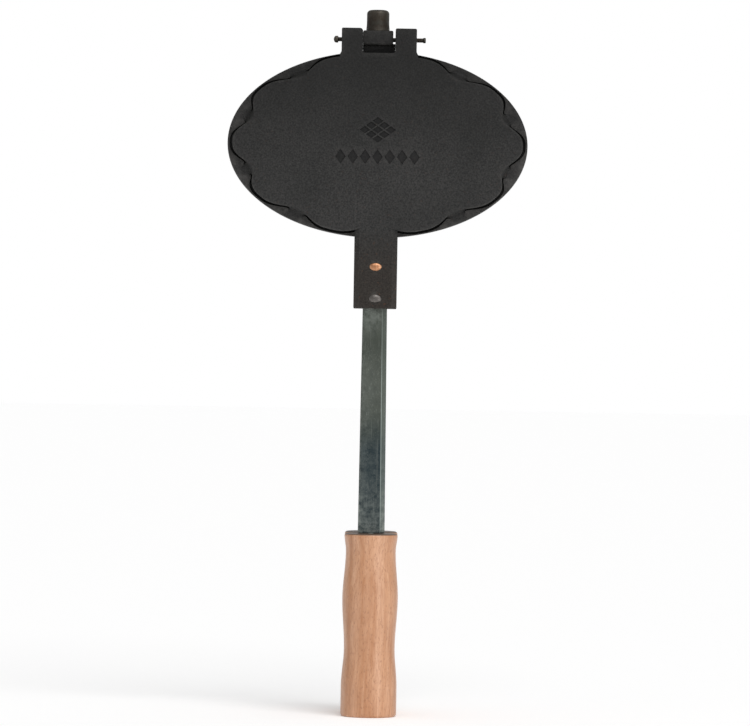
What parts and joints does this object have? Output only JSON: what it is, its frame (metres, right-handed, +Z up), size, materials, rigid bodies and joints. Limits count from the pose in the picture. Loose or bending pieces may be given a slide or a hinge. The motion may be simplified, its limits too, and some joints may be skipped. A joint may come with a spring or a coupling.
{
  "type": "waffle cone maker",
  "caption": "Long-handled hinged cast-iron waffle cone iron with lobed oval plates, flat steel bars and turned wooden grips, for baking over a fire.",
  "frame": {"origin": "on the floor under the middle of the closed iron, which stands upright on the feet of its two grips", "axes": "+Z up from the grips to the hinge, +X across the plates to the peened end of the hinge pin, +Y from the half with the hinge ears to the half with the knuckle"},
  "size_m": [0.2, 0.0776, 0.4691],
  "materials": {
    "cast_iron": "seasoned black, fine sand-cast grain",
    "bare_steel": "bare, lightly rusted",
    "scaled_steel": "hot-rolled, grey-green to blue scale with light scratches",
    "copper": "copper-coloured, hand-peened",
    "rivet_steel": "hand-peened",
    "beech": "turned and oiled, satin",
    "plated_steel": "zinc plated"
  },
  "bodies": {
    "rear_half": {"rear_plate": "cast_iron", "end_stud": "bare_steel", "rear_bar": "scaled_steel", "rear_upper_rivet": "copper", "rear_lower_rivet": "rivet_steel", "rear_grip": "beech", "rear_grip_washer": "plated_steel", "rear_grip_nut": "plated_steel"},
    "front_half": {"front_plate": "cast_iron", "front_bar": "scaled_steel", "front_upper_rivet": "copper", "front_lower_rivet": "rivet_steel", "front_grip": "beech", "front_grip_washer": "plated_steel", "front_grip_nut": "plated_steel"},
    "hinge_pin": {"hinge_pin": "bare_steel"}
  },
  "joints": [
    {"name": "plate_hinge", "type": "hinge", "parent": "rear_half", "child": "front_half", "pos_m": [0, 0, 0.4492], "axis": [-1, 0, 0], "range_deg": [0, 108]},
    {"name": "pin_float", "type": "slide", "parent": "rear_half", "child": "hinge_pin", "axis": [1, 0, 0], "range_m": [-0.0042, 0.0021]}
  ]
}
